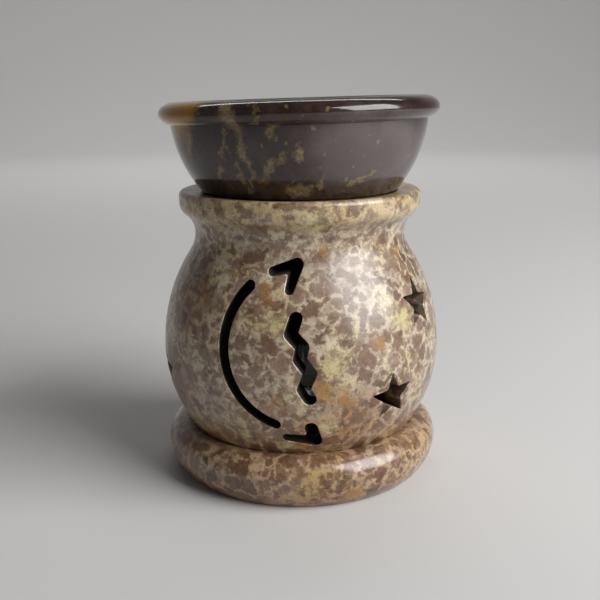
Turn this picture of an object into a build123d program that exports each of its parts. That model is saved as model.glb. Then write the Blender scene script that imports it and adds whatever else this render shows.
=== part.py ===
from build123d import *
import os
from math import asin, atan2, cos, degrees, radians, sin, sqrt

# Turned soapstone essential oil burner. Millimetres, +Z up, the front faces -Y.
# The origin is the centre of the flat underside of the foot.

# Foot: a rounded ring turned on the same block as the belly
foot_base_radius = 34.2
foot_radius = 38.0
foot_widest_height = 8.2
foot_height = 13.5

# Belly, neck and rim of the pot
belly_radius = 38.1
belly_height = 35.0
neck_radius = 28.6
neck_height = 66.3
neck_curve_radius = 9.5
rim_radius = 32.6
rim_cove_radius = 6.3
rim_band_height = 74.2
rim_edge_radius = 1.3
rim_dip = 0.5
pot_height = 77.4

# Hollow of the pot, turned out through the mouth
pot_wall = 6.0
floor_thickness = 11.0
mouth_radius = 23.6

# Conical seat in the mouth that carries the round bowl
seat_radius = 25.8
seat_drop = 1.4
seat_clearance = 0.3

# Bowl: a round turned cup with a flat base and an overhanging lip
bowl_radius = 34.4
bowl_base_radius = 17.0
bowl_floor = 6.0
bowl_inner_radius = 29.5
bowl_lean_angle = 1.2
lip_ring_radius = 32.5
lip_half_width = 4.6
lip_half_height = 3.0
lip_drop = 1.2

# Crescent moon with a face in profile, drawn flat and pierced straight through the front wall.
# Its limb is a slot along an arc. Its other lines are drilled holes joined by saw cuts, and the places
# of the holes are shares of the moon's width and height, from its middle and its lowest point.
moon_azimuth = -10.0
moon_width = 24.0
moon_height = 48.0
moon_base_height = 16.0
moon_limb_width = 2.6
moon_limb_shares = ((-0.285, 0.855), (-0.545, 0.56), (-0.01, 0.148))
moon_end_radius = 1.1
moon_bend_radius = 1.6
moon_saw_radius = 0.5
moon_tip_shares = ((-0.06, 0.925), (0.18, 0.957), (0.125, 0.84))
moon_face_shares = (
    (0.205, 0.708),
    (0.16, 0.633),
    (0.28, 0.57),
    (0.255, 0.508),
    (0.36, 0.436),
    (0.292, 0.351),
    (0.352, 0.3),
)
moon_chin_shares = ((0.095, 0.065), (0.382, 0.04), (0.35, 0.125))

# Five-pointed stars scattered round the belly, each with its first tip upward and turned a little
star_tips = 5
star_radius = 6.7
star_notch_radius = 2.9
star_low_height = 27.8
star_left_height = 29.6
star_high_height = 49.5
star_azimuths = (38.0, 57.8, 110.0, 163.0, 202.0, 240.0, 285.5)
star_heights = (
    star_low_height,
    star_high_height,
    star_low_height,
    star_high_height,
    star_low_height,
    star_high_height,
    star_left_height,
)
star_turn_angles = (6.0, -5.0, 4.0, -8.0, 9.0, -4.0, 0.0)

# Tealight: a standard candle in a drawn aluminium cup
cup_radius = 19.0
cup_height = 15.5
cup_wall = 0.5
cup_rim_radius = 0.6
cup_clearance = 1.5
wax_height = 12.5
wax_gap = 0.05
wick_radius = 0.8
wick_showing = 6.5
sustainer_radius = 6.5
sustainer_thickness = 0.4
sustainer_neck_radius = 1.5
sustainer_neck_height = 4.0
wick_gap = 0.03

# Distance that every cut runs past the wall it goes through
overrun = 5.0

# Derived places
seam_radius = sqrt(belly_radius ** 2 - (belly_height - foot_height) ** 2)
hollow_radius = belly_radius - pot_wall
well_radius = cup_radius + cup_rim_radius + cup_clearance
neck_inset = belly_radius - neck_radius
neck_rise = neck_height - belly_height
shoulder_reach = (neck_inset ** 2 + neck_rise ** 2) / (2 * neck_inset)
shoulder_radius = shoulder_reach - neck_curve_radius
rim_reach = ((rim_radius - neck_radius) ** 2 + (rim_band_height - neck_height) ** 2) / (
    2 * (rim_radius - neck_radius)
)
seat_height = pot_height - seat_drop
bowl_rise = sqrt((bowl_radius + seat_clearance) ** 2 - seat_radius ** 2)
bowl_centre_height = seat_height + bowl_rise
seat_slope = seat_radius / bowl_rise


def pot_outline():
    """Outer side of the pot from the foot's underside to the top of the rim, as joined edges."""
    foot_bottom = (foot_base_radius, 0)
    foot_widest = (foot_radius, foot_widest_height)
    seam = (seam_radius, foot_height)
    widest = (belly_radius, belly_height)
    shoulder_share = shoulder_radius / shoulder_reach
    shoulder_end = (
        belly_radius - shoulder_radius + (shoulder_reach - neck_inset) * shoulder_share,
        belly_height + neck_rise * shoulder_share,
    )
    neck = (neck_radius, neck_height)
    cove_share = rim_cove_radius / rim_reach
    cove_end = (
        neck_radius + (rim_radius - neck_radius) * cove_share,
        neck_height + (rim_band_height - neck_height) * cove_share,
    )
    band_low = (rim_radius, rim_band_height)
    band_high = (rim_radius, pot_height - rim_edge_radius)
    ridge = (rim_radius - rim_edge_radius, pot_height)
    up = (0, 1)
    down = (0, -1)
    return [
        Line((0, 0), foot_bottom),
        TangentArc(foot_widest, foot_bottom, tangent=down),
        TangentArc(foot_widest, seam, tangent=up),
        TangentArc(widest, seam, tangent=down),
        TangentArc(widest, shoulder_end, tangent=up),
        TangentArc(neck, shoulder_end, tangent=down),
        TangentArc(neck, cove_end, tangent=up),
        TangentArc(band_low, cove_end, tangent=down),
        Line(band_low, band_high),
        TangentArc(band_high, ridge, tangent=up),
    ]


def seat_outline():
    """Top of the rim, the conical seat in the mouth, and the way back down the middle."""
    ridge = (rim_radius - rim_edge_radius, pot_height)
    seat_top_height = pot_height - rim_dip
    seat_top = (seat_radius + (seat_top_height - seat_height) / seat_slope, seat_top_height)
    seat_bottom = (mouth_radius, seat_height - (seat_radius - mouth_radius) * seat_slope)
    middle = (0, seat_bottom[1])
    return [
        Line(ridge, seat_top),
        Line(seat_top, seat_bottom),
        Line(seat_bottom, middle),
        Line(middle, (0, 0)),
    ]


def hollow_drawing():
    """Half section of the hollow: a ball, a flat floor wide enough for the candle and a straight bore."""
    corner = (Align.MIN, Align.MIN)
    above_floor = Pos(0, floor_thickness) * Rectangle(hollow_radius, 2 * hollow_radius, align=corner)
    ball = Pos(0, belly_height) * Circle(hollow_radius) & above_floor
    well = Rectangle(well_radius, belly_height - floor_thickness, align=corner)
    bore = Rectangle(mouth_radius, seat_height - belly_height, align=corner)
    return ball + Pos(0, floor_thickness) * well + Pos(0, belly_height) * bore


def pierce(drawing, azimuth):
    """Cutter that carries a flat drawing straight out through the wall at one azimuth."""
    outward = (sin(radians(azimuth)), -cos(radians(azimuth)), 0)
    along = (cos(radians(azimuth)), sin(radians(azimuth)), 0)
    inside = mouth_radius - pot_wall
    wall_plane = Plane(origin=(0, 0, 0), x_dir=along, z_dir=outward).offset(inside)
    return extrude(wall_plane * drawing, belly_radius + overrun - inside)


def moon_place(share):
    """Place on the flat drawing of the moon from its shares."""
    return (share[0] * moon_width, moon_base_height + share[1] * moon_height)


def saw_cut(first, first_radius, second, second_radius):
    """Outline round two drilled holes and the straight cut that joins them."""
    run = Vector(*second) - Vector(*first)
    heading = degrees(atan2(run.Y, run.X))
    square = 90 - degrees(asin((first_radius - second_radius) / run.length))
    start = CenterArc(first, first_radius, heading + square, 360 - 2 * square)
    end = CenterArc(second, second_radius, heading - square, 2 * square)
    return make_face([start, Line(start @ 1, end @ 0), end, Line(end @ 1, start @ 0)])


def sawn_slot(shares, radii):
    """Row of drilled holes joined by saw cuts, with the corners between the cuts eased."""
    holes = [(moon_place(share), radius) for share, radius in zip(shares, radii)]
    slot = Sketch() + [saw_cut(*first, *second) for first, second in zip(holes, holes[1:])]
    straights = slot.edges().filter_by(GeomType.LINE)
    corners = [place for place in slot.vertices() if sum(place in edge.vertices() for edge in straights) == 2]
    return fillet(corners, moon_saw_radius)


def moon_drawings():
    """The pierced lines of the moon: its round limb, upper tip, face and lower tip."""
    limb = SlotArc(ThreePointArc(*[moon_place(share) for share in moon_limb_shares]), moon_limb_width)
    tip = sawn_slot(moon_tip_shares, (moon_end_radius, moon_bend_radius, moon_end_radius))
    face = sawn_slot(moon_face_shares, [moon_bend_radius] * len(moon_face_shares))
    chin = sawn_slot(moon_chin_shares, (moon_end_radius, moon_bend_radius, moon_bend_radius))
    return [limb, tip, face, chin]


def star_drawing(height, turn):
    """Star with its first tip upward, turned by a small angle."""
    corners = []
    for step in range(2 * star_tips):
        reach = star_notch_radius if step % 2 else star_radius
        angle = radians(90 + turn + step * 180 / star_tips)
        corners.append((reach * cos(angle), height + reach * sin(angle)))
    return make_face(Polyline(*corners, close=True))


def make_pot():
    profile = make_face(pot_outline() + seat_outline()) - hollow_drawing()
    pot = revolve(Plane.XZ * profile, Axis.Z)
    cutters = [pierce(drawing, moon_azimuth) for drawing in moon_drawings()]
    stars = zip(star_azimuths, star_heights, star_turn_angles)
    cutters += [pierce(star_drawing(height, turn), azimuth) for azimuth, height, turn in stars]
    return pot - cutters


def make_bowl():
    """Bowl turned about its own centre, then set in the seat with its small lean."""
    base_drop = sqrt(bowl_radius ** 2 - bowl_base_radius ** 2)
    depth = base_drop - bowl_floor
    inner_curve = (bowl_inner_radius ** 2 + depth ** 2) / (2 * depth)
    low = Align.MIN
    wall_zone = Pos(0, -base_drop) * Rectangle(bowl_radius, base_drop - lip_drop, align=(low, low))
    wall = Circle(bowl_radius) & wall_zone
    lip = Pos(lip_ring_radius, -lip_drop) * Ellipse(lip_half_width, lip_half_height)
    profile = wall + lip - Pos(0, inner_curve - depth) * Circle(inner_curve)
    bowl = revolve(Plane.XZ * profile, Axis.Z)
    return Location((0, 0, bowl_centre_height), (0, -bowl_lean_angle, 0)) * bowl


def turned(radius, height, bottom):
    """Plain round with its underside at a given height."""
    low = Align.MIN
    return Pos(0, 0, bottom) * Cylinder(radius, height, align=(Align.CENTER, Align.CENTER, low))


def make_cup():
    cup = turned(cup_radius, cup_height, floor_thickness)
    cup -= turned(cup_radius - cup_wall, cup_height, floor_thickness + cup_wall)
    rolled_rim = Pos(0, 0, floor_thickness + cup_height) * Torus(cup_radius, cup_rim_radius)
    return cup + rolled_rim


def sustainer_shape(gap):
    """Steel disc with a short neck, grown by a gap for the pocket that holds it."""
    bottom = floor_thickness + cup_wall
    disc = turned(sustainer_radius + gap, sustainer_thickness + gap, bottom)
    neck = turned(sustainer_neck_radius + gap, sustainer_neck_height + gap, bottom)
    return disc + neck


def wick_shape(gap):
    bottom = floor_thickness + cup_wall + sustainer_thickness
    height = wax_height + wick_showing - sustainer_thickness
    return turned(wick_radius + gap, height, bottom)


def make_wax():
    wax = turned(cup_radius - cup_wall - wax_gap, wax_height, floor_thickness + cup_wall)
    return wax - sustainer_shape(wax_gap) - wick_shape(wick_gap)


pieces = {
    "pot": make_pot(),
    "bowl": make_bowl(),
    "tealight_cup": make_cup(),
    "tealight_wax": make_wax(),
    "wick_sustainer": sustainer_shape(0) - wick_shape(wick_gap),
    "tealight_wick": wick_shape(0),
}

os.makedirs("parts", exist_ok=True)
for name, piece in pieces.items():
    export_step(piece, f"parts/{name}.step")
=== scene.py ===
from math import asin, atan2, cos, hypot, pi, radians, sin, sqrt

import bmesh
import bpy
from mathutils import Matrix, Vector


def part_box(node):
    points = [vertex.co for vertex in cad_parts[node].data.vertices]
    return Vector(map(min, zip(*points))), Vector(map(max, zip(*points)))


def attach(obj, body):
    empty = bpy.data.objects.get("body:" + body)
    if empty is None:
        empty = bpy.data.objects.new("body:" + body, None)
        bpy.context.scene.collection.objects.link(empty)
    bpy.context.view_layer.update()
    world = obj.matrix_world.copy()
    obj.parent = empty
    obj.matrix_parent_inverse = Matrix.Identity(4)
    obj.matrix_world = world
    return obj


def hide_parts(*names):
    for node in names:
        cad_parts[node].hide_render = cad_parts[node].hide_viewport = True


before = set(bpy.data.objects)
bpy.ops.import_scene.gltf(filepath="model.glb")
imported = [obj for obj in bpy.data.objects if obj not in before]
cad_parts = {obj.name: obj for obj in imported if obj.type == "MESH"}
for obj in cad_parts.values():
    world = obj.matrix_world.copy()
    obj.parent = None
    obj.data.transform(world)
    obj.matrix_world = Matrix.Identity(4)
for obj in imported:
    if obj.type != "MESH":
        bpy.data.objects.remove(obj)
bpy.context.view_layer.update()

# Pot
# The pot is turned on a lathe from one block of mottled soapstone: a ring foot, a round belly, a drawn-in
# neck and a flat rim with a conical seat for the bowl. A crescent moon with a face and a scatter of stars
# are sawn straight through the wall, and the outside is rubbed down, oiled and polished.
mm = 0.001

foot_base_radius = 34.2 * mm
foot_radius = 38.0 * mm
foot_widest_height = 8.2 * mm
foot_height = 13.5 * mm
belly_radius = 38.1 * mm
belly_height = 35.0 * mm
neck_radius = 28.6 * mm
neck_height = 66.3 * mm
neck_curve_radius = 9.5 * mm
rim_radius = 32.6 * mm
rim_cove_radius = 6.3 * mm
rim_band_height = 74.2 * mm
rim_edge_radius = 1.3 * mm
rim_dip = 0.5 * mm
pot_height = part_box("pot")[1].z
pot_wall = 6.0 * mm
floor_thickness = 11.0 * mm
mouth_radius = 23.6 * mm
seat_radius = 25.8 * mm
seat_drop = 1.4 * mm
seat_height = pot_height - seat_drop
seat_clearance = 0.3 * mm
bowl_radius = 34.4 * mm
bowl_rise = sqrt((bowl_radius + seat_clearance) ** 2 - seat_radius ** 2)
seat_slope = seat_radius / bowl_rise
hollow_radius = belly_radius - pot_wall
seam_radius = sqrt(belly_radius ** 2 - (belly_height - foot_height) ** 2)


def tangent_arc(start, tangent, end, steps):
    """Points of the arc that leaves start along tangent and reaches end, start left out."""
    start, end, along = Vector(start), Vector(end), Vector(tangent).normalized()
    across = Vector((-along.y, along.x))
    chord = end - start
    reach = chord.length_squared / (2 * chord.dot(across))
    centre = start + across * reach
    first = atan2(start.y - centre.y, start.x - centre.x)
    last = atan2(end.y - centre.y, end.x - centre.x)
    turn = (last - first + pi) % (2 * pi) - pi
    points = []
    for step in range(1, steps + 1):
        angle = first + turn * step / steps
        points.append(centre + Vector((cos(angle), sin(angle))) * abs(reach))
    return points


def straight(start, end, steps):
    """Evenly spaced points from start to end, start left out."""
    return [Vector(start).lerp(Vector(end), step / steps) for step in range(1, steps + 1)]


def pot_side():
    """Outer side of the pot from the edge of its underside to the top of the rim."""
    inset = belly_radius - neck_radius
    rise = neck_height - belly_height
    reach = (inset ** 2 + rise ** 2) / (2 * inset)
    shoulder_radius = reach - neck_curve_radius
    share = shoulder_radius / reach
    shoulder_end = (belly_radius - shoulder_radius + (reach - inset) * share, belly_height + rise * share)
    flare = rim_radius - neck_radius
    lift = rim_band_height - neck_height
    cove_share = rim_cove_radius * 2 * flare / (flare ** 2 + lift ** 2)
    cove_end = (neck_radius + flare * cove_share, neck_height + lift * cove_share)
    up, down = (0, 1), (0, -1)
    widest, neck = (belly_radius, belly_height), (neck_radius, neck_height)
    band = (rim_radius, rim_band_height)
    band_top = (rim_radius, pot_height - rim_edge_radius)
    ridge = (rim_radius - rim_edge_radius, pot_height)
    points = [Vector((foot_base_radius, 0))]
    points += tangent_arc((foot_radius, foot_widest_height), down, (foot_base_radius, 0), 14)[-2::-1]
    points.append(Vector((foot_radius, foot_widest_height)))
    points += tangent_arc((foot_radius, foot_widest_height), up, (seam_radius, foot_height), 16)
    points += tangent_arc(widest, down, (seam_radius, foot_height), 26)[-2::-1]
    points.append(Vector(widest))
    points += tangent_arc(widest, up, shoulder_end, 28)
    points += tangent_arc(neck, down, shoulder_end, 8)[-2::-1]
    points.append(Vector(neck))
    points += tangent_arc(neck, up, cove_end, 8)
    points += tangent_arc(band, down, cove_end, 6)[-2::-1]
    points.append(Vector(band))
    points += straight(band, band_top, 2)
    points += tangent_arc(band_top, up, ridge, 6)
    return points


def pot_inside():
    """Inner side of the pot from the top of the rim down to the edge of the flat floor."""
    seat_top = (seat_radius + (pot_height - rim_dip - seat_height) / seat_slope, pot_height - rim_dip)
    seat_bottom = (mouth_radius, seat_height - (seat_radius - mouth_radius) * seat_slope)
    bore_low = (mouth_radius, belly_height + sqrt(hollow_radius ** 2 - mouth_radius ** 2))
    floor_edge = (sqrt(hollow_radius ** 2 - (belly_height - floor_thickness) ** 2), floor_thickness)
    widest = (hollow_radius, belly_height)
    points = straight((rim_radius - rim_edge_radius, pot_height), seat_top, 3)
    points += straight(seat_top, seat_bottom, 2)
    points += straight(seat_bottom, bore_low, 6)
    points += tangent_arc(widest, (0, 1), bore_low, 14)[-2::-1]
    points.append(Vector(widest))
    points += tangent_arc(widest, (0, -1), floor_edge, 14)
    return points


def turned_mesh(name, outline, steps):
    """Closed round made by spinning an outline of radius and height about the upright axis."""
    bm = bmesh.new()
    corners = [bm.verts.new((point[0], 0, point[1])) for point in outline]
    edges = [bm.edges.new(pair) for pair in zip(corners, corners[1:])]
    bmesh.ops.spin(
        bm, geom=corners + edges, cent=(0, 0, 0), axis=(0, 0, 1), angle=2 * pi, steps=steps, use_merge=True
    )
    bmesh.ops.remove_doubles(bm, verts=bm.verts, dist=0.001 * mm)
    bmesh.ops.recalc_face_normals(bm, faces=bm.faces)
    mesh = bpy.data.meshes.new(name)
    bm.to_mesh(mesh)
    bm.free()
    return mesh


def add_piece(name, mesh, materials, sharp_angle=30):
    """Object for a finished mesh, smooth but for its edges over the given angle."""
    for material in materials:
        mesh.materials.append(material)
    mesh.shade_smooth()
    mesh.set_sharp_from_angle(angle=radians(sharp_angle))
    piece = bpy.data.objects.new(name, mesh)
    bpy.context.scene.collection.objects.link(piece)
    return piece


# Drawing of the moon, in shares of its width and height from its middle and lowest point
moon_azimuth = -10.0
moon_width = 24.0 * mm
moon_height = 48.0 * mm
moon_base_height = 16.0 * mm
moon_limb_width = 2.6 * mm
moon_limb_shares = ((-0.285, 0.855), (-0.545, 0.56), (-0.01, 0.148))
moon_end_radius = 1.1 * mm
moon_bend_radius = 1.6 * mm
moon_saw_radius = 0.5 * mm
moon_tip_shares = ((-0.06, 0.925), (0.18, 0.957), (0.125, 0.84))
moon_face_shares = (
    (0.205, 0.708), (0.16, 0.633), (0.28, 0.57), (0.255, 0.508), (0.36, 0.436), (0.292, 0.351), (0.352, 0.3),
)
moon_chin_shares = ((0.095, 0.065), (0.382, 0.04), (0.35, 0.125))
star_tips = 5
star_radius = 6.7 * mm
star_notch_radius = 2.9 * mm
star_tip_cut = 0.4 * mm
star_low, star_left, star_high = 27.8 * mm, 29.6 * mm, 49.5 * mm
star_azimuths = (38.0, 57.8, 110.0, 163.0, 202.0, 240.0, 285.5)
star_heights = (star_low, star_high, star_low, star_high, star_low, star_high, star_left)
star_turns = (6.0, -5.0, 4.0, -8.0, 9.0, -4.0, 0.0)


def moon_place(share):
    """Place on the flat drawing of the moon from its shares."""
    return Vector((share[0] * moon_width, moon_base_height + share[1] * moon_height))


def arc_points(centre, radius, first, turn, steps):
    """Points round a centre from a first angle through a turn, both ends included."""
    angles = [first + turn * step / steps for step in range(steps + 1)]
    return [centre + Vector((cos(angle), sin(angle))) * radius for angle in angles]


def limb_loop():
    """Outline of the moon's round limb: a slot of even width along an arc, with round ends."""
    high, middle, low = (moon_place(share) for share in moon_limb_shares)
    a, b = middle - high, low - high
    cross = 2 * (a.x * b.y - a.y * b.x)
    offset = Vector((
        (b.y * a.length_squared - a.y * b.length_squared) / cross,
        (a.x * b.length_squared - b.x * a.length_squared) / cross,
    ))
    centre, radius, half = high + offset, offset.length, moon_limb_width / 2
    first = atan2(high.y - centre.y, high.x - centre.x) % (2 * pi)
    turn = atan2(low.y - centre.y, low.x - centre.x) % (2 * pi) - first
    loop = arc_points(centre, radius + half, first, turn, 48)
    loop += arc_points(low, half, first + turn, pi, 10)[1:-1]
    loop += arc_points(centre, radius - half, first + turn, -turn, 48)
    loop += arc_points(high, half, first + pi, pi, 10)[1:-1]
    return loop


def sawn_side(holes):
    """Right-hand side of a row of drilled holes joined by saw cuts, and the round of its last hole."""
    starts, widths = [], []
    for (here, radius), (there, next_radius) in zip(holes, holes[1:]):
        run = there - here
        square = pi / 2 - asin((radius - next_radius) / run.length)
        starts.append(atan2(run.y, run.x) - square)
        widths.append(2 * square)
    points = []
    for (hole, radius), before, after in zip(holes[1:-1], starts, starts[1:]):
        turn = (after - before + pi) % (2 * pi) - pi
        if turn > 0:
            points += arc_points(hole, radius, before, turn, 6)
        else:
            middle = before + turn / 2
            reach = (radius + moon_saw_radius) / cos(turn / 2)
            corner = hole + Vector((cos(middle), sin(middle))) * reach
            points += arc_points(corner, -moon_saw_radius, before, turn, 4)
    return points + arc_points(*holes[-1], starts[-1], widths[-1], 12)


def sawn_loop(shares, radii):
    """Outline round a row of drilled holes and the saw cuts that join them."""
    holes = [(moon_place(share), radius) for share, radius in zip(shares, radii)]
    return sawn_side(holes) + sawn_side(holes[::-1])


def star_loop(height, turn):
    """Five-pointed star with its corners a little worn."""
    bm = bmesh.new()
    corners = []
    for step in range(2 * star_tips):
        reach = star_notch_radius if step % 2 else star_radius
        angle = radians(90 + turn + step * 180 / star_tips)
        corners.append(bm.verts.new((reach * cos(angle), height + reach * sin(angle), 0)))
    bm.faces.new(corners)
    bmesh.ops.bevel(
        bm, geom=corners, offset=star_tip_cut, affect="VERTICES", segments=2, profile=0.5, material=-1
    )
    loop = [vert.co.to_2d() for vert in max(bm.faces, key=lambda face: face.calc_area()).verts]
    bm.free()
    return loop


def grown(loop, distance):
    """The loop moved outward by a distance, corner by corner."""
    moved = []
    for before, here, after in zip(loop[-1:] + loop[:-1], loop, loop[1:] + loop[:1]):
        one, two = (here - before).normalized(), (after - here).normalized()
        side = Vector((one.y + two.y, -one.x - two.x)).normalized()
        lean = max(0.5, side.dot(Vector((one.y, -one.x))))
        moved.append(here + side * distance / lean)
    return moved


pot_points = pot_side()


def side_radius(height):
    """Radius of the pot's outer side at a height."""
    for below, above in zip(pot_points, pot_points[1:]):
        if below.y <= height <= above.y:
            share = (height - below.y) / max(above.y - below.y, 0.000001)
            return below.x + (above.x - below.x) * share
    return belly_radius


edge_ease = 0.2 * mm
# Quarter round at the edge of a cut, in shares of the ease: out along the drawing, and in from the pot's side
flare_shares = ((0.0, 1.0), (0.134, 0.5), (0.5, 0.134), (1.2, -0.27))


def add_cut(bm, loop, azimuth, wall_finish):
    """Adds one cutter: the loop carried through the wall, flared where it meets the outer side."""
    area = sum(a.x * b.y - b.x * a.y for a, b in zip(loop, loop[1:] + loop[:1]))
    loop = loop if area > 0 else loop[::-1]
    outward = Vector((sin(radians(azimuth)), -cos(radians(azimuth)), 0))
    along = Vector((cos(radians(azimuth)), sin(radians(azimuth)), 0))
    inside = mouth_radius - pot_wall
    outside = belly_radius + pot_wall
    rows = [[(point, inside) for point in loop]]
    for reach, depth in flare_shares:
        ring = grown(loop, reach * edge_ease)
        levels = [sqrt(max(side_radius(p.y) ** 2 - p.x ** 2, 0)) for p in ring]
        rows.append([(point, level - depth * edge_ease) for point, level in zip(ring, levels)])
    rows.append([(point, outside) for point, level in rows[-1]])
    rings = []
    for row in rows:
        corners = [bm.verts.new(along * p.x + outward * level + Vector((0, 0, p.y))) for p, level in row]
        rings.append([bm.edges.new(pair) for pair in zip(corners, corners[1:] + corners[:1])])
    for low, high in zip(rings, rings[1:]):
        sides = bmesh.ops.bridge_loops(bm, edges=low + high)["faces"]
        for face in sides:
            face.material_index = wall_finish if low is rings[0] else 0
    for end in (rings[0], rings[-1]):
        bmesh.ops.edgeloop_fill(bm, edges=end)


# Finish indices: the stars' sawn walls, and the near-black painted shade on the moon's cut walls and inside
# the pot
sawn_finish, painted_shade_finish = 1, 2
tip_radii = (moon_end_radius, moon_bend_radius, moon_end_radius)
face_radii = [moon_bend_radius] * len(moon_face_shares)
chin_radii = (moon_end_radius, moon_bend_radius, moon_bend_radius)
moon_loops = [
    limb_loop(),
    sawn_loop(moon_tip_shares, tip_radii),
    sawn_loop(moon_face_shares, face_radii),
    sawn_loop(moon_chin_shares, chin_radii),
]
cuts = bmesh.new()
# The moon's cut walls get the near-black painted shade
for loop in moon_loops:
    add_cut(cuts, loop, moon_azimuth, painted_shade_finish)
for azimuth, height, turn in zip(star_azimuths, star_heights, star_turns):
    add_cut(cuts, star_loop(height, turn), azimuth, sawn_finish)
bmesh.ops.recalc_face_normals(cuts, faces=cuts.faces)
cut_mesh = bpy.data.meshes.new("pot_cuts")
cuts.to_mesh(cut_mesh)
cuts.free()


def cut_through(mesh, cutter_mesh):
    """The mesh with the cutters taken out of it."""
    blank = bpy.data.objects.new("blank", mesh)
    cutter = bpy.data.objects.new("cutter", cutter_mesh)
    for item in (blank, cutter):
        bpy.context.scene.collection.objects.link(item)
    boolean = blank.modifiers.new("cut", "BOOLEAN")
    boolean.operation = "DIFFERENCE"
    boolean.solver = "EXACT"
    boolean.object = cutter
    depsgraph = bpy.context.evaluated_depsgraph_get()
    result = bpy.data.meshes.new_from_object(blank.evaluated_get(depsgraph))
    for item in (blank, cutter):
        bpy.data.objects.remove(item)
    return result


def add_node(tree, kind, inputs=(), **settings):
    """New node with its settings, and its inputs given as values or as sockets to link."""
    node = tree.nodes.new(kind)
    for name, value in settings.items():
        setattr(node, name, value)
    for key, value in dict(inputs).items():
        if isinstance(value, bpy.types.NodeSocket):
            tree.links.new(value, node.inputs[key])
        else:
            node.inputs[key].default_value = value
    return node


def maths(tree, operation, *values, clamp=False):
    """Sum, product or other operation on values."""
    node = add_node(tree, "ShaderNodeMath", dict(enumerate(values)), operation=operation, use_clamp=clamp)
    return node.outputs[0]


def vector_maths(tree, operation, first, second=None, output=0, **named):
    """Operation on places and directions."""
    inputs = {0: first, **named}
    if second is not None:
        inputs[1] = second
    return add_node(tree, "ShaderNodeVectorMath", inputs, operation=operation).outputs[output]


def blend(tree, share, first, second, kind="MIX"):
    """Mix of two colours by a share."""
    inputs = {0: share, 6: first, 7: second}
    return add_node(tree, "ShaderNodeMix", inputs, data_type="RGBA", blend_type=kind).outputs[2]


def ranged(tree, value, low, high, start=0.0, end=1.0):
    """Smooth step of a value between two limits."""
    inputs = {0: value, 1: low, 2: high, 3: start, 4: end}
    return add_node(tree, "ShaderNodeMapRange", inputs, interpolation_type="SMOOTHSTEP").outputs[0]


def cloud(tree, place, size, detail=3.0, rough=0.55):
    """Soft noise whose lumps are about the given size, as a node."""
    inputs = {"Vector": place, "Scale": 1 / size, "Detail": detail, "Roughness": rough}
    return add_node(tree, "ShaderNodeTexNoise", inputs)


def colour_steps(tree, value, stops):
    """Colour read from a row of (place, colour) stops."""
    node = add_node(tree, "ShaderNodeValToRGB", {0: value})
    elements = node.color_ramp.elements
    while len(elements) < len(stops):
        elements.new(0.5)
    for element, (place, colour) in zip(elements, stops):
        element.position = place
        element.color = (*colour, 1.0)
    return node.outputs[0]


def new_group(name, values_in, values_out):
    """New node group that takes a place and some values and gives values, with its inner sockets."""
    tree = bpy.data.node_groups.new(name, "ShaderNodeTree")
    tree.interface.new_socket("Vector", in_out="INPUT", socket_type="NodeSocketVector")
    for value in values_in:
        tree.interface.new_socket(value, in_out="INPUT", socket_type="NodeSocketFloat")
    for value in values_out:
        tree.interface.new_socket(value, in_out="OUTPUT", socket_type="NodeSocketFloat")
    return tree, tree.nodes.new("NodeGroupInput").outputs, tree.nodes.new("NodeGroupOutput").inputs


def fragments_group():
    """Broken stone in a paler ground: a tone and a hue for each fragment, and the mask of its body."""
    tree, inside, outside = new_group("stone_fragments", ("Size", "Crumple", "Gap"), ("Tone", "Hue", "Body"))
    frequency = maths(tree, "DIVIDE", 1.0, inside["Size"])
    place = vector_maths(tree, "SCALE", inside["Vector"], Scale=frequency)
    bend = cloud(tree, place, 1.1, 5.0, 0.62).outputs["Color"]
    bend = vector_maths(tree, "SUBTRACT", bend, (0.5, 0.5, 0.5))
    bend = vector_maths(tree, "SCALE", bend, Scale=inside["Crumple"])
    place = vector_maths(tree, "ADD", place, bend)
    cell_inputs = {"Vector": place, "Scale": 1.0}
    cells = add_node(tree, "ShaderNodeTexVoronoi", cell_inputs, feature="F1")
    parts = add_node(tree, "ShaderNodeSeparateColor", {0: cells.outputs["Color"]})
    edges = add_node(tree, "ShaderNodeTexVoronoi", cell_inputs, feature="DISTANCE_TO_EDGE")
    inner = maths(tree, "MULTIPLY", inside["Gap"], 0.2)
    outer = maths(tree, "MULTIPLY_ADD", inside["Gap"], 1.8, 0.05)
    ragged = maths(tree, "SUBTRACT", cloud(tree, place, 0.55, 5.0, 0.65).outputs[0], 0.5)
    border = maths(tree, "MULTIPLY_ADD", ragged, 0.55, edges.outputs["Distance"])
    tree.links.new(parts.outputs[0], outside["Tone"])
    tree.links.new(parts.outputs[1], outside["Hue"])
    tree.links.new(ranged(tree, border, inner, outer), outside["Body"])
    return tree


def turning_group():
    """Rings that a lathe and its polishing cloth leave: noise that changes only with radius and height."""
    tree, inside, outside = new_group("turning_marks", ("Size",), ("Height",))
    parts = add_node(tree, "ShaderNodeSeparateXYZ", {0: inside["Vector"]}).outputs
    flat = add_node(tree, "ShaderNodeCombineXYZ", {0: parts[0], 1: parts[1]}).outputs[0]
    radius = vector_maths(tree, "LENGTH", flat, output="Value")
    rings = add_node(tree, "ShaderNodeCombineXYZ", {0: radius, 2: parts[2]}).outputs[0]
    frequency = maths(tree, "DIVIDE", 1.0, inside["Size"])
    inputs = {"Vector": rings, "Scale": frequency, "Detail": 2.0, "Roughness": 0.7}
    tree.links.new(add_node(tree, "ShaderNodeTexNoise", inputs).outputs[0], outside["Height"])
    return tree


stone_fragments = fragments_group()
turned_rings = turning_group()


def fragments(tree, place, size, crumple, gap):
    """Broken stone placed in a material, as its tone, hue and body."""
    inputs = {"Vector": place, "Size": size, "Crumple": crumple, "Gap": gap}
    return add_node(tree, "ShaderNodeGroup", inputs, node_tree=stone_fragments).outputs


def turning_marks(tree, place, size):
    """Turning rings placed in a material, as a height."""
    inputs = {"Vector": place, "Size": size}
    return add_node(tree, "ShaderNodeGroup", inputs, node_tree=turned_rings).outputs["Height"]


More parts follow.
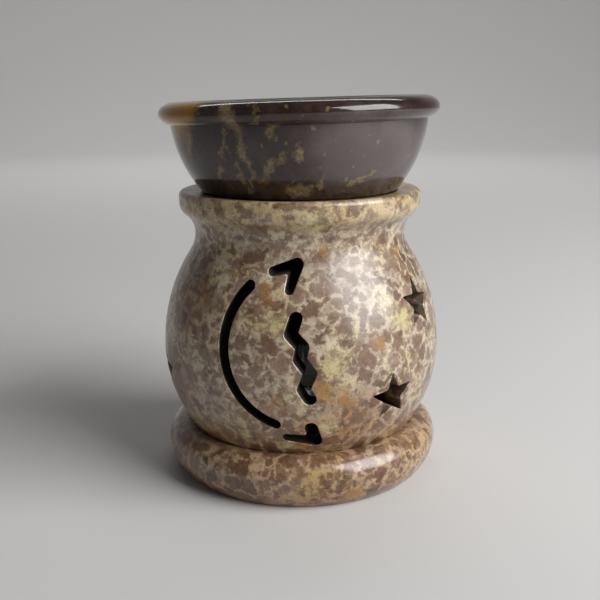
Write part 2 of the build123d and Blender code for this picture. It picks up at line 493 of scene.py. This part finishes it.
def wandered(tree, place, size, reach):
    """The place pushed about by soft noise, so that drawn patches get uneven borders."""
    noise = cloud(tree, place, size, 4.0, 0.6).outputs["Color"]
    push = vector_maths(tree, "SUBTRACT", noise, (0.5, 0.5, 0.5))
    return vector_maths(tree, "ADD", place, vector_maths(tree, "SCALE", push, Scale=2 * reach))


def patches(tree, place, spots):
    """Mask that is full inside any of the (centre, radius) spots and soft at their edge."""
    total = None
    for centre, radius in spots:
        away = vector_maths(tree, "DISTANCE", place, centre, "Value")
        mask = ranged(tree, away, 0.5 * radius, 1.25 * radius, 1.0, 0.0)
        total = mask if total is None else maths(tree, "MAXIMUM", total, mask)
    return total


def on_side(azimuth, height, radius, size):
    """Spot on a round piece from its azimuth, its height, the piece's radius there and the spot's size."""
    turn = radians(azimuth)
    return Vector((radius * sin(turn), -radius * cos(turn), height)) * mm, size * mm


def new_finish(name):
    """New material, with its node tree, the inputs of its surface and the place on the piece."""
    material = bpy.data.materials.new(name)
    material.use_nodes = True
    tree = material.node_tree
    surface = tree.nodes["Principled BSDF"].inputs
    return material, tree, surface, tree.nodes.new("ShaderNodeTexCoord").outputs["Object"]


def add_relief(tree, surface, height, strength, depth):
    """Fine unevenness of a surface, from a height and the depth that it stands for."""
    bump = add_node(tree, "ShaderNodeBump", {"Height": height, "Strength": strength, "Distance": depth})
    tree.links.new(bump.outputs[0], surface["Normal"])


ground_colours = (
    (0.36, (0.43, 0.35, 0.265)),
    (0.5, (0.57, 0.47, 0.335)),
    (0.64, (0.52, 0.415, 0.21)),
)
fragment_colours = (
    (0.0, (0.080, 0.040, 0.020)),
    (0.3, (0.150, 0.079, 0.042)),
    (0.6, (0.205, 0.122, 0.078)),
    (0.85, (0.265, 0.177, 0.127)),
    (1.0, (0.37, 0.285, 0.21)),
)
cream = (0.66, 0.57, 0.40)
pale_yellow = (0.58, 0.50, 0.26)
ochre = (0.36, 0.175, 0.05)
pot_ochre_spots = (
    on_side(10, 65.3, 28.7, 1.8), on_side(32, 42.5, 37.5, 2.4), on_side(9, 31.9, 38.0, 3.4),
    on_side(17, 29.7, 37.7, 3.2), on_side(-8, 28.5, 37.5, 2.8), on_side(56, 62.3, 29.5, 1.6),
    on_side(-1, 16.2, 33.1, 1.8), on_side(19, 3.6, 36.6, 3.4), on_side(-15, 54.7, 33.8, 2.6),
    on_side(118, 40.0, 37.5, 3.6), on_side(185, 30.0, 37.7, 3.8), on_side(222, 52.0, 34.5, 3.0),
)
pot_yellow_spots = (
    on_side(-9, 48.5, 36.1, 2.8), on_side(13, 38.0, 38.0, 2.8), on_side(6, 72.8, 31.5, 4.2),
    on_side(-42, 57.2, 32.5, 2.6), on_side(-30, 22.6, 36.0, 2.4), on_side(-25, 19.2, 34.6, 2.2),
    on_side(11, 21.8, 35.7, 2.2), on_side(45, 47.2, 36.5, 3.6), on_side(-7, 16.4, 33.3, 2.2),
    on_side(95, 55.0, 33.5, 3.2), on_side(150, 38.0, 37.9, 3.4), on_side(255, 45.0, 37.0, 3.4),
)
pot_cream_spots = (
    on_side(-17, 58.9, 31.5, 2.6), on_side(34, 39.1, 37.9, 2.2), on_side(13, 43.4, 37.3, 2.8),
    on_side(-35, 56.5, 32.9, 2.4), on_side(-31, 66.0, 28.6, 2.4), on_side(-4, 31.6, 37.9, 2.0),
    on_side(38, 52.0, 35.0, 3.4), on_side(135, 28.0, 37.5, 3.0), on_side(210, 38.0, 37.9, 3.0),
)
pot_brown_spots = (
    on_side(20, 23, 36.3, 9.0), on_side(4, 20, 35.0, 6.0), on_side(-52, 52, 34.5, 8.0),
    on_side(-60, 30, 37.5, 9.0), on_side(170, 25, 36.5, 9.0), on_side(100, 20, 35.0, 8.0),
    on_side(260, 55, 33.5, 8.0),
)
# Dark patches, mostly on the left side: partly dark-brown stone, partly painted shade
pot_dark_stone_and_shade_spots = (
    on_side(-49, 58.0, 32.3, 4.6), on_side(-40, 52.5, 34.7, 3.8), on_side(-57, 47.0, 36.5, 4.8),
    on_side(-24, 62.5, 29.8, 3.0), on_side(-66, 36.0, 38.0, 4.6), on_side(196, 50.0, 35.3, 4.6),
    on_side(128, 56.0, 33.1, 4.4),
)
pot_rim_spots = (
    on_side(-38, 74.9, 32.4, 1.7), on_side(-24, 75.9, 32.4, 1.5), on_side(4, 76.5, 32.2, 1.3),
    on_side(-46, 73.3, 32.4, 1.6), on_side(24, 75.0, 32.5, 1.5), on_side(150, 75.0, 32.5, 2.2),
    on_side(250, 74.0, 32.5, 2.4),
)
pot_stains_and_shade = (
    (pot_brown_spots, 0.9, (0.80, 0.57, 0.38), "MULTIPLY"),
    (pot_dark_stone_and_shade_spots, 0.85, (0.50, 0.38, 0.27), "MULTIPLY"),
    (pot_yellow_spots, 0.85, pale_yellow, "MIX"),
    (pot_cream_spots, 0.7, cream, "MIX"),
    (pot_ochre_spots, 0.9, ochre, "MIX"),
    (pot_rim_spots, 0.9, (0.13, 0.07, 0.035), "MIX"),
)
large_fragment = 4.6 * mm
small_fragment = 2.1 * mm
# Colour and share of the darkening on the surfaces that aren't polished: a darker tone on the sawn walls of
# the stars, and near-black painted shade on the moon's cut walls and inside the pot
cut_tone_and_painted_shade = {"sawn": ((0.05, 0.032, 0.02), 0.45), "painted_shade": ((0.006, 0.005, 0.004), 0.95)}


def pot_stone_colour(tree, place, height, grain):
    """Taupe and brown fragments in a cream ground, warmer at the rim and browner low down, with stains and
    with dark patches, mostly on the left side, that are partly dark stone and partly painted shade.
    """
    stained = wandered(tree, wandered(tree, place, 5 * mm, 5 * mm), 1.4 * mm, 1.8 * mm)
    tint = cloud(tree, place, 12 * mm, 3.0).outputs[0]
    region = cloud(tree, place, 20 * mm, 2.0).outputs[0]
    mottle = cloud(tree, place, 2.4 * mm, 5.0, 0.62).outputs[0]
    large = fragments(tree, place, large_fragment, 1.2, ranged(tree, region, 0.38, 0.62, 0.04, 0.13))
    small = fragments(tree, place, small_fragment, 1.1, 0.1)

    colour = colour_steps(tree, tint, ground_colours)
    small_colour = colour_steps(tree, small["Tone"], fragment_colours)
    blotch = ranged(tree, mottle, 0.47, 0.62, 0.0, 0.75)
    colour = blend(tree, blotch, colour, small_colour)
    small_body = maths(tree, "MULTIPLY", small["Body"], ranged(tree, small["Hue"], 0.35, 0.55, 0.0, 0.75))
    colour = blend(tree, small_body, colour, small_colour)
    large_tone = maths(tree, "MULTIPLY_ADD", large["Tone"], 0.6, ranged(tree, mottle, 0.3, 0.7, 0.4, 0.0))
    large_body = maths(tree, "MULTIPLY", large["Body"], ranged(tree, large["Hue"], 0.05, 0.25, 0.0, 0.92))
    colour = blend(tree, large_body, colour, colour_steps(tree, large_tone, fragment_colours))

    low = ranged(tree, height, foot_height, belly_height, 0.75, 0.0)
    colour = blend(tree, low, colour, (0.82, 0.64, 0.50, 1), "MULTIPLY")
    edge = ranged(tree, height, 2.0 * mm, 6.0 * mm, 0.8, 0.0)
    colour = blend(tree, edge, colour, (0.80, 0.60, 0.42, 1), "MULTIPLY")
    rim = ranged(tree, height, rim_band_height - 4.7 * mm, rim_band_height - 1.7 * mm)
    warm = maths(tree, "MULTIPLY", rim, ranged(tree, mottle, 0.42, 0.58, 0.75, 0.1))
    colour = blend(tree, warm, colour, (0.56, 0.42, 0.21, 1))
    broken = ranged(tree, mottle, 0.4, 0.62, 1.0, 0.3)
    # Each group of patches goes into the colour; the dark group is partly painted shade
    for spots, share, stain, kind in pot_stains_and_shade:
        mask = maths(tree, "MULTIPLY", patches(tree, stained, spots), maths(tree, "MULTIPLY", broken, share))
        colour = blend(tree, mask, colour, (*stain, 1), kind)
    speck = ranged(tree, grain, 0.35, 0.7, 1.06, 0.8)
    speck = add_node(tree, "ShaderNodeCombineColor", {0: speck, 1: speck, 2: speck}).outputs[0]
    return blend(tree, 1.0, colour, speck, "MULTIPLY")


def pot_stone_material(finish):
    """Mottled soapstone, polished and oiled outside, rough and darker where it is sawn, and near-black with
    painted shade inside the pot and on the moon's cut walls.
    """
    material, tree, surface, place = new_finish("pot_stone_" + finish)
    height = add_node(tree, "ShaderNodeSeparateXYZ", {0: place}).outputs[2]
    grain = cloud(tree, place, 0.6 * mm, 4.0, 0.7).outputs[0]
    colour = pot_stone_colour(tree, place, height, grain)
    if finish == "polished":
        foot = ranged(tree, height, foot_height - 0.9 * mm, foot_height + 0.5 * mm, 1.0, 0.0)
        gloss = ranged(tree, foot, 0.0, 1.0, 0.32, 0.18)
        gloss = maths(tree, "ADD", gloss, ranged(tree, grain, 0.3, 0.7, -0.04, 0.08))
        mark_share = ranged(tree, foot, 0.0, 1.0, 0.35, 0.9)
        marks = maths(tree, "MULTIPLY", turning_marks(tree, place, 0.3 * mm), mark_share)
        relief = maths(tree, "MULTIPLY_ADD", grain, 0.5, marks)
        depth = 0.03 * mm
        surface["Coat Weight"].default_value = 0.6
        surface["Coat Roughness"].default_value = 0.28
    else:
        # Mix toward a darker colour: near-black painted shade inside and on the moon's cut walls, a darker
        # tone on the stars' sawn walls
        darkening, share = cut_tone_and_painted_shade[finish]
        colour = blend(tree, share, colour, (*darkening, 1))
        gloss = ranged(tree, grain, 0.3, 0.7, 0.6, 0.8)
        relief = maths(tree, "ADD", grain, turning_marks(tree, place, 0.5 * mm))
        depth = 0.12 * mm
    tree.links.new(colour, surface["Base Color"])
    tree.links.new(gloss, surface["Roughness"])
    add_relief(tree, surface, relief, 0.35, depth)
    return material


pot_finishes = [pot_stone_material(finish) for finish in ("polished", "sawn", "painted_shade")]

pot_outline = [Vector((0, 0))] + pot_points + pot_inside() + [Vector((0, floor_thickness))]
pot_mesh = turned_mesh("pot_blank", pot_outline, 256)
for mesh in (pot_mesh, cut_mesh):
    for finish in pot_finishes:
        mesh.materials.append(finish)
# Faces inside the pot between these heights get the near-black painted shade
painted_shade_bottom = 0.5 * floor_thickness
painted_shade_top = seat_height - 2 * mm
for face in pot_mesh.polygons:
    x, y, z = face.center
    inside = hypot(x, y) < side_radius(z) - 0.5 * pot_wall
    face.material_index = painted_shade_finish if inside and painted_shade_bottom < z < painted_shade_top else 0
pot = add_piece("pot_stone", cut_through(pot_mesh, cut_mesh), (), 25)
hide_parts("pot")
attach(pot, "pot")

# Tealight cup
# The cup is drawn from thin bright aluminium sheet: a straight wall, a shallow dished base with a rounded
# edge, and a rim rolled outward so that it has no sharp edge.
cup_radius = 19.0 * mm
cup_wall = 0.5 * mm
cup_rim_radius = 0.6 * mm
cup_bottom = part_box("tealight_cup")[0].z
cup_rim_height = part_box("tealight_cup")[1].z - cup_rim_radius
cup_rim_roll = 1.75 * pi
base_edge_radius = 1.2 * mm
base_dish = 0.3 * mm
base_dish_share = 0.72
base_ring_share = 0.78
base_fall = 0.02 * mm
cup_bright = (0.80, 0.81, 0.82, 1)
cup_dull = (0.66, 0.67, 0.69, 1)


def cup_outline():
    """Dished base, rounded edge, wall, rolled rim and the inside back to the middle."""
    edge = Vector((cup_radius - base_edge_radius, cup_bottom + base_edge_radius))
    rim = Vector((cup_radius, cup_rim_height))
    inner = cup_radius - cup_wall
    dish_height = cup_bottom + base_dish
    points = [Vector((0, dish_height)), Vector((cup_radius * base_dish_share, dish_height))]
    points += [Vector((cup_radius * base_ring_share, cup_bottom)), Vector((edge.x, cup_bottom))]
    points += arc_points(edge, base_edge_radius, -pi / 2, pi / 2, 6)[1:]
    points += arc_points(rim, cup_rim_radius, -pi / 2, cup_rim_roll, 18)
    points += [Vector((inner, cup_rim_height)), Vector((inner, cup_bottom + cup_wall + base_fall))]
    points += [Vector((0, cup_bottom + cup_wall))]
    return points


def cup_metal_material():
    """Bright drawn aluminium with upright drawing lines and a slightly uneven shine."""
    material, tree, surface, place = new_finish("cup_aluminium_drawn")
    upright = add_node(tree, "ShaderNodeMapping", {0: place, "Scale": (1.0, 1.0, 0.06)}).outputs[0]
    lines = cloud(tree, upright, 0.35 * mm, 3.0, 0.7).outputs[0]
    dull = ranged(tree, cloud(tree, place, 5 * mm, 3.0).outputs[0], 0.35, 0.7)
    tree.links.new(blend(tree, dull, cup_bright, cup_dull), surface["Base Color"])
    tree.links.new(ranged(tree, lines, 0.3, 0.7, 0.22, 0.38), surface["Roughness"])
    surface["Metallic"].default_value = 1.0
    add_relief(tree, surface, lines, 0.2, 0.02 * mm)
    return material


cup_mesh = turned_mesh("tealight_cup", cup_outline(), 128)
cup = add_piece("tealight_cup_drawn", cup_mesh, (cup_metal_material(),))
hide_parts("tealight_cup")
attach(cup, "tealight")

# Wick sustainer
# A small stamped steel disc with a short neck crimped round the wick. The wax covers it, so its own solid
# serves as it is, in a tinned steel finish.
tin_bright = (0.55, 0.55, 0.56, 1)
tin_dull = (0.42, 0.42, 0.44, 1)


def sustainer_material():
    """Tinned steel with a fine spangle."""
    material, tree, surface, place = new_finish("sustainer_tinned")
    spangle = cloud(tree, place, 0.8 * mm, 3.0, 0.6).outputs[0]
    colour = blend(tree, ranged(tree, spangle, 0.35, 0.65), tin_bright, tin_dull)
    tree.links.new(colour, surface["Base Color"])
    tree.links.new(ranged(tree, spangle, 0.3, 0.7, 0.28, 0.45), surface["Roughness"])
    surface["Metallic"].default_value = 1.0
    return material


sustainer = bpy.data.objects["wick_sustainer"]
sustainer.data.materials.clear()
sustainer.data.materials.append(sustainer_material())

# Tealight wick
# Cotton yarn stiffened with wax: three strands laid round each other and cut straight at the top. It
# stands in the neck of the sustainer and comes up through the wax.
wick_radius = 0.8 * mm
wick_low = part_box("tealight_wick")[0].z
wick_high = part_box("tealight_wick")[1].z
wick_pitch = 3.2 * mm
strand_radius = 0.37 * mm
strand_sides = 10
wick_rows = 72
cotton_pale = (0.82, 0.78, 0.68, 1)
cotton_dark = (0.6, 0.55, 0.45, 1)


def wick_mesh():
    """Three round strands, each a disc carried up and round the middle of the wick."""
    bm = bmesh.new()
    rise = wick_high - wick_low
    first_place = Matrix.Translation((wick_radius - strand_radius, 0, wick_low))
    for strand in range(3):
        place = Matrix.Rotation(2 * pi * strand / 3, 4, "Z") @ first_place
        disc = bmesh.ops.create_circle(
            bm, cap_ends=True, radius=strand_radius, segments=strand_sides, matrix=place
        )["verts"]
        edges = {edge for vert in disc for edge in vert.link_edges}
        faces = {face for vert in disc for face in vert.link_faces}
        bmesh.ops.spin(
            bm, geom=[*disc, *edges, *faces], cent=(0, 0, 0), axis=(0, 0, 1), dvec=(0, 0, rise / wick_rows),
            angle=2 * pi * rise / wick_pitch, steps=wick_rows,
        )
    bmesh.ops.recalc_face_normals(bm, faces=bm.faces)
    mesh = bpy.data.meshes.new("tealight_wick")
    bm.to_mesh(mesh)
    bm.free()
    return mesh


def wick_cotton_material():
    """Waxed cotton, fuzzy with fine fibres."""
    material, tree, surface, place = new_finish("wick_waxed_cotton")
    fibres = cloud(tree, place, 0.15 * mm, 3.0, 0.7).outputs[0]
    colour = blend(tree, ranged(tree, fibres, 0.3, 0.7), cotton_pale, cotton_dark)
    tree.links.new(colour, surface["Base Color"])
    surface["Roughness"].default_value = 0.6
    add_relief(tree, surface, fibres, 0.5, 0.05 * mm)
    return material


wick = add_piece("tealight_wick_braided", wick_mesh(), (wick_cotton_material(),), 60)
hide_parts("tealight_wick")
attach(wick, "tealight")

# Tealight wax
# Paraffin poured round the wick: it clings a little up the wall of the cup and the wick, and sinks between
# them as it sets.
wax_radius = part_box("tealight_wax")[1].x
wax_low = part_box("tealight_wax")[0].z
wax_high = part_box("tealight_wax")[1].z
wax_sink = 0.7 * mm
wax_clearance = 0.03 * mm
disc_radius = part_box("wick_sustainer")[1].x
disc_thickness = 0.4 * mm
crimp_radius = 1.5 * mm
crimp_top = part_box("wick_sustainer")[1].z
wax_top_steps = 24
wax_white = (0.84, 0.82, 0.75, 1)
wax_cloudy = (0.74, 0.72, 0.66, 1)


def wax_outline():
    """Hollow over the sustainer, flat underside, upright side, and a top that sags toward the wick."""
    middle = wick_radius + wax_clearance
    crimp = crimp_radius + wax_clearance
    disc = disc_radius + wax_clearance
    ledge = wax_low + disc_thickness + wax_clearance
    points = [Vector((middle, crimp_top + wax_clearance)), Vector((crimp, crimp_top + wax_clearance))]
    points += [Vector((crimp, ledge)), Vector((disc, ledge)), Vector((disc, wax_low))]
    points += [Vector((wax_radius, wax_low)), Vector((wax_radius, wax_high))]
    for step in range(1, wax_top_steps + 1):
        share = step / wax_top_steps
        cling = (2 * share - 1) ** 8
        radius = wax_radius + (middle - wax_radius) * share
        points.append(Vector((radius, wax_high - wax_sink * (1 - cling) * (0.75 + 0.25 * share))))
    return points + points[:1]


def candle_wax_material():
    """White paraffin, a little clouded, that lets light sink in."""
    material, tree, surface, place = new_finish("candle_paraffin")
    milk = ranged(tree, cloud(tree, place, 4 * mm, 4.0, 0.6).outputs[0], 0.35, 0.65)
    tree.links.new(blend(tree, milk, wax_white, wax_cloudy), surface["Base Color"])
    surface["Roughness"].default_value = 0.42
    surface["Subsurface Weight"].default_value = 0.35
    surface["Subsurface Radius"].default_value = (0.003, 0.0025, 0.002)
    surface["Subsurface Scale"].default_value = 1.0
    add_relief(tree, surface, cloud(tree, place, 1.2 * mm, 3.0).outputs[0], 0.2, 0.08 * mm)
    return material


wax_mesh = turned_mesh("tealight_wax", wax_outline(), 128)
wax = add_piece("tealight_wax_poured", wax_mesh, (candle_wax_material(),))
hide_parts("tealight_wax")
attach(wax, "tealight")

# Bowl
# The bowl is turned from a darker, finer piece of the same stone: a round cup with a flat base, a wide
# rolled lip and a smooth hollow for water and oil. It is polished bright and sits loose in the pot's mouth.
bowl_base_radius = 17.0 * mm
bowl_floor = 6.0 * mm
bowl_inner_radius = 29.5 * mm
bowl_lean = 1.2
lip_ring_radius = 32.5 * mm
lip_half_width = 4.6 * mm
lip_half_height = 3.0 * mm
lip_drop = 1.2 * mm
lip_steps = 48
bowl_centre_height = seat_height + bowl_rise


def bowl_outline():
    """Outside from the middle of the base up the wall and over the lip, then the hollow to its middle."""
    base_drop = sqrt(bowl_radius ** 2 - bowl_base_radius ** 2)
    depth = base_drop - bowl_floor
    inner_curve = (bowl_inner_radius ** 2 + depth ** 2) / (2 * depth)
    inner_centre = inner_curve - depth

    def lip_point(angle):
        """Point of the lip's oval section at an angle round it."""
        return Vector((
            lip_ring_radius + lip_half_width * cos(angle),
            -lip_drop + lip_half_height * sin(angle),
        ))

    outside_start = next(
        angle for angle in (radians(-175 + step / 4) for step in range(700))
        if lip_point(angle).length > bowl_radius
    )
    inside_end = next(
        angle for angle in (radians(60 + step / 4) for step in range(700))
        if hypot(lip_point(angle).x, lip_point(angle).y - inner_centre) < inner_curve
    )
    points = [Vector((0, -base_drop))]
    points += straight((0, -base_drop), (bowl_base_radius, -base_drop), 4)
    first = atan2(-base_drop, bowl_base_radius)
    meet = lip_point(outside_start)
    last = atan2(meet.y, meet.x)
    points += arc_points(Vector((0, 0)), bowl_radius, first, last - first, 40)[1:]
    for step in range(1, lip_steps + 1):
        points.append(lip_point(outside_start + (inside_end - outside_start) * step / lip_steps))
    meet = lip_point(inside_end)
    first = atan2(meet.y - inner_centre, meet.x)
    points += arc_points(Vector((0, inner_centre)), inner_curve, first, -pi / 2 - first, 40)[1:]
    points[-1].x = 0
    return points


bowl_colours = (
    (0.0, (0.010, 0.005, 0.004)),
    (0.45, (0.026, 0.013, 0.011)),
    (1.0, (0.050, 0.029, 0.025)),
)
bowl_cream = (0.30, 0.22, 0.11)
bowl_olive = (0.21, 0.145, 0.035)
bowl_amber = (0.38, 0.185, 0.012)
bowl_painted_sheen = (0.125, 0.10, 0.10)
# Lilac-grey patches of painted sheen: two on the right front where the key light's haze falls, and one at the
# back
painted_sheen_spots = (on_side(22, 89, 33, 11), on_side(42, 88, 33, 11), on_side(175, 88, 33, 14))
amber_spots = (on_side(-78, 97, 36, 9.0), on_side(-62, 98, 36, 8.0), on_side(-50, 99.5, 36.5, 6.0))
bowl_streaks = (
    ((-27, 101.0, 34.5), (-26, 97.5, 36.9), (-25, 94.0, 34.2), 1.8),
    ((-25, 94.0, 34.2), (-24, 90.5, 33.3), (-22, 86.5, 31.9), 1.3),
    ((-22, 86.5, 31.9), (-22, 83.0, 30.5), (-24, 79.5, 28.3), 0.8),
    ((-30, 95.0, 34.4), (-31, 91.5, 33.6), (-34, 88.0, 32.5), 0.9),
    ((-27, 87.0, 32.2), (-28, 84.5, 31.2), (-27, 82.0, 30.0), 0.9),
    ((-17, 101.0, 34.5), (-16, 98.0, 37.0), (-15, 95.5, 35.0), 0.8),
    ((-10, 96.2, 34.8), (-11, 93.0, 34.0), 1.2),
    ((-1, 90.3, 33.2), (0, 88.4, 32.6), 0.8),
    ((-6, 88.4, 32.6), (-9, 86.4, 31.9), 0.9),
    ((-12, 86.2, 31.8), (-16, 82.4, 30.2), 1.4),
    ((-4, 79.6, 28.3), (3, 79.0, 27.8), 1.8),
    ((12, 83.0, 30.5), (10, 79.8, 28.5), 0.8),
    ((-37, 84.8, 31.3), (-41, 82.4, 30.2), 1.1),
    ((-52, 92.5, 33.9), (-57, 88.5, 32.6), 1.8),
    ((26, 81.6, 29.7), (36, 83.4, 30.7), 0.8),
    ((130, 101.0, 34.5), (128, 93.0, 34.0), (133, 82.0, 30.0), 1.4),
    ((215, 101.0, 34.5), (217, 95.0, 34.3), (212, 86.0, 31.8), 1.1),
    ((160, 86.0, 31.8), (155, 81.0, 29.3), 1.6),
    ((238, 91.0, 33.4), (233, 86.0, 31.8), 1.3),
)


def streak_mask(tree, place, streaks):
    """Mask round bent lines through places (azimuth, height, radius), each line with a half width."""
    total = None
    for *places, width in streaks:
        knots = [on_side(*knot, 0)[0] for knot in places]
        for start, end in zip(knots, knots[1:]):
            run = end - start
            away = vector_maths(tree, "SUBTRACT", place, start)
            share = vector_maths(tree, "DOT_PRODUCT", away, run / run.length_squared, "Value")
            near = vector_maths(tree, "SCALE", run, Scale=maths(tree, "ADD", share, 0.0, clamp=True))
            off = vector_maths(tree, "DISTANCE", away, near, "Value")
            mask = ranged(tree, off, 0.0, 1.4 * width * mm, 1.0, 0.0)
            total = mask if total is None else maths(tree, "MAXIMUM", total, mask)
    return total


def bowl_stone_material():
    """Dark polished soapstone: purple-brown, with olive streaks, small pale flecks, an amber stain and
    lilac-grey patches of painted sheen.
    """
    material, tree, surface, place = new_finish("bowl_stone_polished")
    stained = wandered(tree, wandered(tree, place, 5 * mm, 3 * mm), 1.3 * mm, 1.6 * mm)
    tint = cloud(tree, place, 9 * mm, 5.0, 0.6).outputs[0]
    grain = cloud(tree, place, 0.7 * mm, 4.0, 0.7).outputs[0]
    small = fragments(tree, place, 1.1 * mm, 1.2, 0.15)
    tone = maths(tree, "MULTIPLY_ADD", small["Tone"], 0.2, ranged(tree, tint, 0.25, 0.75, 0.0, 0.8))
    colour = colour_steps(tree, tone, bowl_colours)
    # Painted sheen: lilac-grey patches standing in for the key light's broad haze on the right
    painted_sheen = maths(tree, "MULTIPLY", patches(tree, stained, painted_sheen_spots), 0.6)
    colour = blend(tree, painted_sheen, colour, (*bowl_painted_sheen, 1))
    fleck = maths(tree, "MULTIPLY", small["Body"], ranged(tree, small["Hue"], 0.955, 0.975, 0.0, 0.4))
    colour = blend(tree, fleck, colour, (*bowl_cream, 1))
    streak = streak_mask(tree, stained, bowl_streaks)
    streak = maths(tree, "MULTIPLY", streak, ranged(tree, grain, 0.3, 0.62, 0.9, 0.45))
    gold = blend(tree, ranged(tree, tint, 0.42, 0.58), (*bowl_olive, 1), (*bowl_cream, 1))
    colour = blend(tree, streak, colour, gold)
    amber_share = ranged(tree, tint, 0.25, 0.55, 0.6, 0.95)
    amber = maths(tree, "MULTIPLY", patches(tree, stained, amber_spots), amber_share)
    colour = blend(tree, amber, colour, (*bowl_amber, 1))
    tree.links.new(colour, surface["Base Color"])
    tree.links.new(ranged(tree, grain, 0.3, 0.7, 0.1, 0.18), surface["Roughness"])
    surface["Coat Weight"].default_value = 0.3
    surface["Coat Roughness"].default_value = 0.06
    relief = maths(tree, "MULTIPLY_ADD", turning_marks(tree, place, 0.4 * mm), 0.5, grain)
    add_relief(tree, surface, relief, 0.2, 0.012 * mm)
    return material


bowl_mesh = turned_mesh("bowl_stone", bowl_outline(), 256)
bowl_mesh.transform(
    Matrix.Translation((0, 0, bowl_centre_height)) @ Matrix.Rotation(radians(-bowl_lean), 4, "Y")
)
bowl = add_piece("bowl_stone", bowl_mesh, (bowl_stone_material(),))
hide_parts("bowl")
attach(bowl, "bowl")

# Stage
# A pale round sweep of paper under and about the burner, a large soft box to the right, one over the paper
# behind, and a camera at the height and distance of the photograph.
sweep_floor = 1.3
sweep_curve = 0.9
sweep_height = 2.4
sweep_line = [Vector((0, 0)), Vector((sweep_floor, 0))]
sweep_line += tangent_arc((sweep_floor, 0), (1, 0), (sweep_floor + sweep_curve, sweep_curve), 32)
sweep_line.append(Vector((sweep_floor + sweep_curve, sweep_height)))
paper = bpy.data.materials.new("pale_paper")
paper.use_nodes = True
paper_surface = paper.node_tree.nodes["Principled BSDF"].inputs
paper_surface["Base Color"].default_value = (0.64, 0.63, 0.62, 1)
paper_surface["Roughness"].default_value = 0.9
paper_sweep = add_piece("paper_sweep", turned_mesh("paper_sweep", sweep_line, 96), (paper,))


def soft_box(name, aim, azimuth, elevation, distance, width, height, power):
    """Flat lamp facing a place from a direction round it."""
    lamp = bpy.data.lights.new(name, "AREA")
    lamp.shape = "RECTANGLE"
    lamp.size = width
    lamp.size_y = height
    lamp.energy = power
    box = bpy.data.objects.new(name, lamp)
    away = Vector((
        sin(radians(azimuth)) * cos(radians(elevation)),
        -cos(radians(azimuth)) * cos(radians(elevation)),
        sin(radians(elevation)),
    ))
    box.location = aim + away * distance
    box.rotation_euler = away.to_track_quat("Z", "Y").to_euler()
    box.visible_camera = False
    bpy.context.scene.collection.objects.link(box)


soft_box(
    "key_box", Vector((0, 0, 0.05)),
    azimuth=62, elevation=32, distance=0.75, width=0.6, height=0.64, power=8.5,
)
soft_box(
    "backdrop_box", Vector((0, 1.3, 0.2)),
    azimuth=0, elevation=60, distance=0.9, width=1.2, height=0.3, power=8.0,
)

world = bpy.data.worlds.new("studio")
world.use_nodes = True
world.node_tree.nodes["Background"].inputs["Color"].default_value = (0.05, 0.052, 0.055, 1)
bpy.context.scene.world = world

camera_data = bpy.data.cameras.new("camera")
camera_data.sensor_width = 36
camera_data.lens = 49.92
camera_data.shift_x = -0.00115
camera_data.clip_start = 0.01
camera = bpy.data.objects.new("camera", camera_data)
camera_distance = 227.1 * mm
camera_height = 102.4 * mm
camera_pitch = 14.0
camera_roll = -0.6
camera.matrix_world = (
    Matrix.Translation((0, -camera_distance, camera_height))
    @ Matrix.Rotation(radians(90 - camera_pitch), 4, "X")
    @ Matrix.Rotation(radians(camera_roll), 4, "Z")
)
bpy.context.scene.collection.objects.link(camera)
bpy.context.scene.camera = camera
bpy.context.scene.view_settings.view_transform = "Standard"
